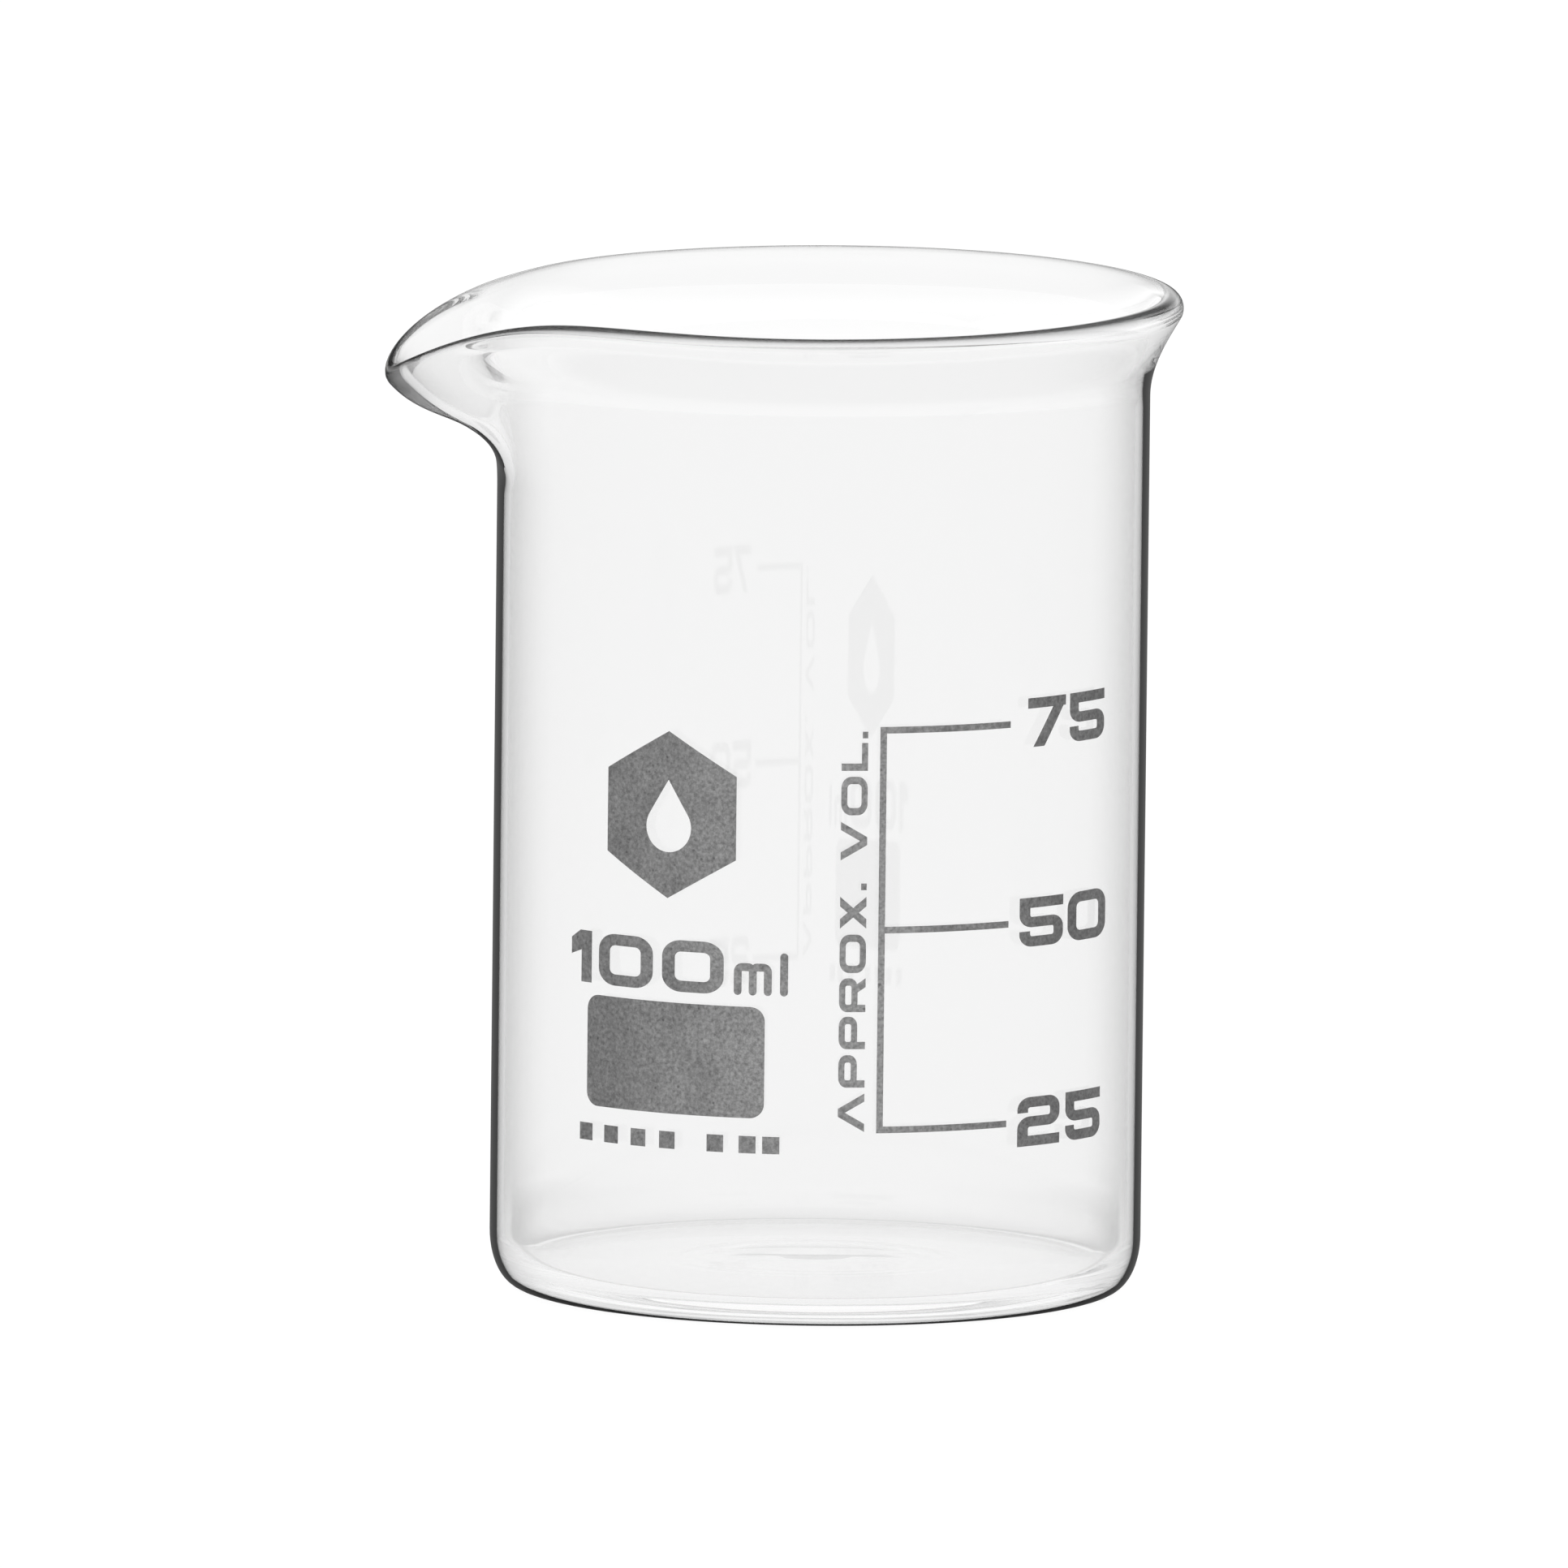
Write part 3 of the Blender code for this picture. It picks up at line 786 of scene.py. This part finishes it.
def crest_painted_shade(nodes, cosine, mouth):
    """Painted shade: the dark line along the bead at glancing angles, thicker near the spout."""
    thin = nodes.ramp(
        cosine,
        ((0.0, 0.0), (0.456, 0.02), (0.6, 0.1), (0.7, 0.34), (0.8, 0.6), (0.95, 0.8), (1.0, GLASS_TINT)),
    )
    thick = nodes.ramp(
        cosine, ((0.0, 0.0), (0.65, 0.01), (0.78, 0.3), (0.85, 0.6), (0.95, 0.8), (1.0, GLASS_TINT))
    )
    return nodes.mix(mouth, thin, thick)


def glass_material():
    """Clear glass. In places painted shade darkens its colour at glancing angles into dark outlines, mostly
    only for rays from the air.
    """
    material, nodes = new_material("clear_glass")
    cosine = nodes.rest(nodes.add("ShaderNodeLayerWeight", {"Blend": 0.5}).outputs["Facing"])
    inside, rim, spout, mouth, foot = [nodes.attribute(name) for name in GLASS_SHARES]
    geometry = nodes.add("ShaderNodeNewGeometry")
    from_air = nodes.rest(geometry.outputs["Backfacing"])
    outlined = nodes.product(outline_share(nodes, geometry.outputs["Normal"], rim, spout), from_air)
    folded = nodes.product(nodes.product(foot, inside), from_air)
    crested = nodes.product(crest_share(nodes, inside, mouth), from_air)
    # Painted shade: dark outlines at glancing angles, mixed into the glass colour
    colour = nodes.mix(outlined, GLASS_TINT, outline_painted_shade(nodes, cosine, inside, spout, foot))
    # Painted shade: a grey line on the inner turn at the foot
    colour = nodes.mix(folded, colour, fold_painted_shade(nodes, cosine))
    # Painted shade: a dark fill at the spout's tip
    colour = nodes.mix(tip_share(nodes, inside, rim, spout), colour, tip_painted_shade(nodes, cosine))
    # Painted shade: a dark line along the top of the bead
    colour = nodes.mix(crested, colour, crest_painted_shade(nodes, cosine, mouth))
    shader = nodes.add(
        "ShaderNodeBsdfPrincipled",
        {"Base Color": colour, "Roughness": 0.0, "IOR": GLASS_INDEX, "Transmission Weight": 1.0},
    )
    nodes.add("ShaderNodeOutputMaterial", {"Surface": shader.outputs["BSDF"]})
    return material


def enamel_material():
    """Fired printing ink: matt and grainy, with darker pinholes and a tone that drifts at random. Painted
    shade darkens it towards both sides along X, lightest near the middle.
    """
    material, nodes = new_material("printing_enamel")
    place = nodes.add("ShaderNodeTexCoord").outputs["Object"]
    grain = nodes.add(
        "ShaderNodeTexNoise", {"Vector": place, "Scale": GRAIN_SCALE, "Detail": 3.0, "Roughness": 0.7}
    ).outputs["Fac"]
    cloud = nodes.add(
        "ShaderNodeTexNoise", {"Vector": place, "Scale": CLOUD_SCALE, "Detail": 2.0}
    ).outputs["Fac"]
    pits = nodes.add("ShaderNodeTexVoronoi", {"Vector": place, "Scale": PINHOLE_SCALE}).outputs["Distance"]
    sideways = nodes.add("ShaderNodeSeparateXYZ", {0: place}).outputs["X"]
    share = nodes.add("ShaderNodeMapRange", {0: sideways, 1: -SIDE_SHADE_REACH, 2: SIDE_SHADE_REACH}).outputs[0]
    tone = nodes.ramp(grain, ((0.3, 0.16), (0.7, 0.4)))
    # Painted shade: the enamel darker towards both sides along X, where the curved wall is lit less
    side_painted_shade = nodes.ramp(share, ((0.08, 0.68), (0.29, 1.0), (0.47, 1.0), (0.75, 0.54)))
    drift = nodes.ramp(cloud, ((0.35, 0.82), (0.65, 1.0)))
    pinhole = nodes.ramp(pits, ((0.06, 0.55), (0.12, 1.0)))
    colour = tone
    for layer in (side_painted_shade, drift, pinhole):
        colour = nodes.mix(1.0, colour, layer, "MULTIPLY")
    lumps = nodes.add("ShaderNodeBump", {"Height": grain, "Strength": 0.25, "Distance": LUMP_HEIGHT})
    shader = nodes.add(
        "ShaderNodeBsdfPrincipled",
        {"Base Color": colour, "Roughness": ENAMEL_ROUGHNESS, "Normal": lumps.outputs["Normal"]},
    )
    nodes.add("ShaderNodeOutputMaterial", {"Surface": shader.outputs["BSDF"]})
    return material


# ---------------------------------------------------------------- studio


def studio_floor():
    """A white floor that glows, and shows a dark tone only in mirror-like reflections."""
    mesh = bpy.data.meshes.new("studio_floor")
    half = FLOOR_SIZE / 2
    corners = [(x, y, 0.0) for x, y in rectangle(-half, -half, half, half)]
    mesh.from_pydata(corners, [], [(0, 1, 2, 3)])
    floor = bpy.data.objects.new("studio_floor", mesh)
    floor.location.z = -FLOOR_DROP
    bpy.context.scene.collection.objects.link(floor)
    material, nodes = new_material("white_floor")
    seen = nodes.mix(nodes.mirrored(), 1.0, MIRRORED_FLOOR)
    light = nodes.add("ShaderNodeEmission", {"Color": seen, "Strength": FLOOR_GLOW})
    matt = nodes.add("ShaderNodeBsdfDiffuse", {"Color": shade(FLOOR_MATT)})
    both = nodes.add("ShaderNodeAddShader", {0: light.outputs[0], 1: matt.outputs[0]})
    nodes.add("ShaderNodeOutputMaterial", {"Surface": both.outputs[0]})
    mesh.materials.append(material)


def studio_light():
    """White light, dimmer overhead, with a bright band just above the horizon in mirror-like reflections."""
    world = bpy.data.worlds.new("studio")
    world.use_nodes = True
    bpy.context.scene.world = world
    nodes = Nodes(world.node_tree)
    height = nodes.height(nodes.add("ShaderNodeTexCoord").outputs["Generated"])
    sky = nodes.ramp(height, ((0.5, 1.0), (0.9, 0.45)))
    mirrored_sky = nodes.ramp(height, ((0.0, MIRRORED_FLOOR), (0.12, 1.0), (0.14, 1.0), (0.3, 0.1)))
    seen = nodes.mix(nodes.mirrored(), sky, mirrored_sky)
    background = nodes.add("ShaderNodeBackground", {"Color": seen, "Strength": SKY_GLOW})
    nodes.add("ShaderNodeOutputWorld", {"Surface": background.outputs[0]})


def studio_camera():
    """At the viewing angle of the reference view, nearly without perspective."""
    aside, ahead = math.sin(CAMERA_AZIMUTH), math.cos(CAMERA_AZIMUTH)
    level, rise = math.cos(CAMERA_ELEVATION), math.sin(CAMERA_ELEVATION)
    back = Vector((aside * level, -ahead * level, rise))
    right = Vector((ahead, aside, 0.0))
    camera = bpy.data.cameras.new("camera")
    camera.sensor_width = SENSOR
    camera.lens = SENSOR * CAMERA_DISTANCE / VIEW_WIDTH
    camera.clip_start, camera.clip_end = CLIP
    seat = bpy.data.objects.new("camera", camera)
    seat.location = right * CAMERA_SIDE + Vector((0.0, 0.0, CAMERA_HEIGHT)) + back * CAMERA_DISTANCE
    seat.rotation_mode = "QUATERNION"
    seat.rotation_quaternion = (-back).to_track_quat("-Z", "Y") @ Quaternion((0.0, 0.0, 1.0), CAMERA_ROLL)
    bpy.context.scene.collection.objects.link(seat)
    bpy.context.scene.camera = seat


def long_light_paths():
    """Light passes many faces of glass before it is cut off, so that no dark bands fill the spout and rim."""
    paths = bpy.context.scene.cycles
    paths.max_bounces = LIGHT_BOUNCES
    paths.glossy_bounces = LIGHT_BOUNCES
    paths.transmission_bounces = LIGHT_BOUNCES


studio_camera()
studio_light()
studio_floor()
glass_body().data.materials.append(glass_material())
ink = enamel_material()
for printed in make_print():
    printed.data.materials.append(ink)
long_light_paths()
bpy.context.scene.view_settings.view_transform = "Standard"
